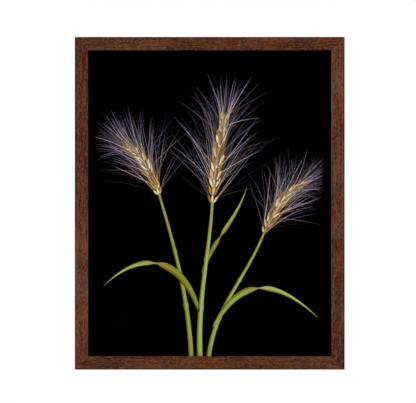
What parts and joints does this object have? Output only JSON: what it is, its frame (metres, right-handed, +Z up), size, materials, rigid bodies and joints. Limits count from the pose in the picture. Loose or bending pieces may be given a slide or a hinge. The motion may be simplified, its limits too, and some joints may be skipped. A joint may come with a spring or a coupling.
{
  "type": "framed wall print",
  "caption": "Upright wall frame of dark brown mitred wood holding a botanical print on black behind clear glazing, closed by turn buttons and hung by a sawtooth hanger.",
  "frame": {"origin": "the point that the wall hook carries: the middle notch of the sawtooth hanger, in the wall plane", "axes": "+X to the viewer's right, +Y into the wall, +Z up; the picture faces -Y"},
  "size_m": [0.4366, 0.0235, 0.5383],
  "materials": {
    "stained_wood": "satin",
    "clear_glazing": "polished",
    "printed_paper": "satin",
    "foam_core": "matte",
    "fibreboard": "matte",
    "zinc_plate": "satin",
    "screw_steel": "satin",
    "wedge_steel": "satin",
    "rubber": "matte"
  },
  "bodies": {
    "frame": {"rail_top": "stained_wood", "rail_right": "stained_wood", "rail_bottom": "stained_wood", "rail_left": "stained_wood", "corner_wedge_top_left": "wedge_steel", "corner_wedge_top_right": "wedge_steel", "corner_wedge_bottom_right": "wedge_steel", "corner_wedge_bottom_left": "wedge_steel", "glazing": "clear_glazing", "print_sheet": "printed_paper", "foam_board": "foam_core", "backing_board": "fibreboard", "button_screw_top_left": "screw_steel", "button_screw_top_right": "screw_steel", "button_screw_right_upper": "screw_steel", "button_screw_right_lower": "screw_steel", "button_screw_bottom_right": "screw_steel", "button_screw_bottom_left": "screw_steel", "button_screw_left_lower": "screw_steel", "button_screw_left_upper": "screw_steel", "sawtooth_hanger": "zinc_plate", "hanger_nail_left": "screw_steel", "hanger_nail_right": "screw_steel", "wall_bumper_left": "rubber", "wall_bumper_right": "rubber"},
    "turn_button_top_left": {"turn_button_top_left": "zinc_plate"},
    "turn_button_top_right": {"turn_button_top_right": "zinc_plate"},
    "turn_button_right_upper": {"turn_button_right_upper": "zinc_plate"},
    "turn_button_right_lower": {"turn_button_right_lower": "zinc_plate"},
    "turn_button_bottom_right": {"turn_button_bottom_right": "zinc_plate"},
    "turn_button_bottom_left": {"turn_button_bottom_left": "zinc_plate"},
    "turn_button_left_lower": {"turn_button_left_lower": "zinc_plate"},
    "turn_button_left_upper": {"turn_button_left_upper": "zinc_plate"}
  },
  "joints": [
    {"name": "turn_button_top_left_swivel", "type": "hinge", "parent": "frame", "child": "turn_button_top_left", "pos_m": [-0.115, -0.0027, 0.00243], "axis": [0, 1, 0], "range_deg": [-90, 90]},
    {"name": "turn_button_top_right_swivel", "type": "hinge", "parent": "frame", "child": "turn_button_top_right", "pos_m": [0.115, -0.0027, 0.00243], "axis": [0, 1, 0], "range_deg": [-90, 90]},
    {"name": "turn_button_right_upper_swivel", "type": "hinge", "parent": "frame", "child": "turn_button_right_upper", "pos_m": [0.2102, -0.0027, -0.12857], "axis": [0, 1, 0], "range_deg": [-90, 90]},
    {"name": "turn_button_right_lower_swivel", "type": "hinge", "parent": "frame", "child": "turn_button_right_lower", "pos_m": [0.2102, -0.0027, -0.38858], "axis": [0, 1, 0], "range_deg": [-90, 90]},
    {"name": "turn_button_bottom_right_swivel", "type": "hinge", "parent": "frame", "child": "turn_button_bottom_right", "pos_m": [0.115, -0.0027, -0.51958], "axis": [0, 1, 0], "range_deg": [-90, 90]},
    {"name": "turn_button_bottom_left_swivel", "type": "hinge", "parent": "frame", "child": "turn_button_bottom_left", "pos_m": [-0.115, -0.0027, -0.51958], "axis": [0, 1, 0], "range_deg": [-90, 90]},
    {"name": "turn_button_left_lower_swivel", "type": "hinge", "parent": "frame", "child": "turn_button_left_lower", "pos_m": [-0.2102, -0.0027, -0.38858], "axis": [0, 1, 0], "range_deg": [-90, 90]},
    {"name": "turn_button_left_upper_swivel", "type": "hinge", "parent": "frame", "child": "turn_button_left_upper", "pos_m": [-0.2102, -0.0027, -0.12857], "axis": [0, 1, 0], "range_deg": [-90, 90]}
  ]
}
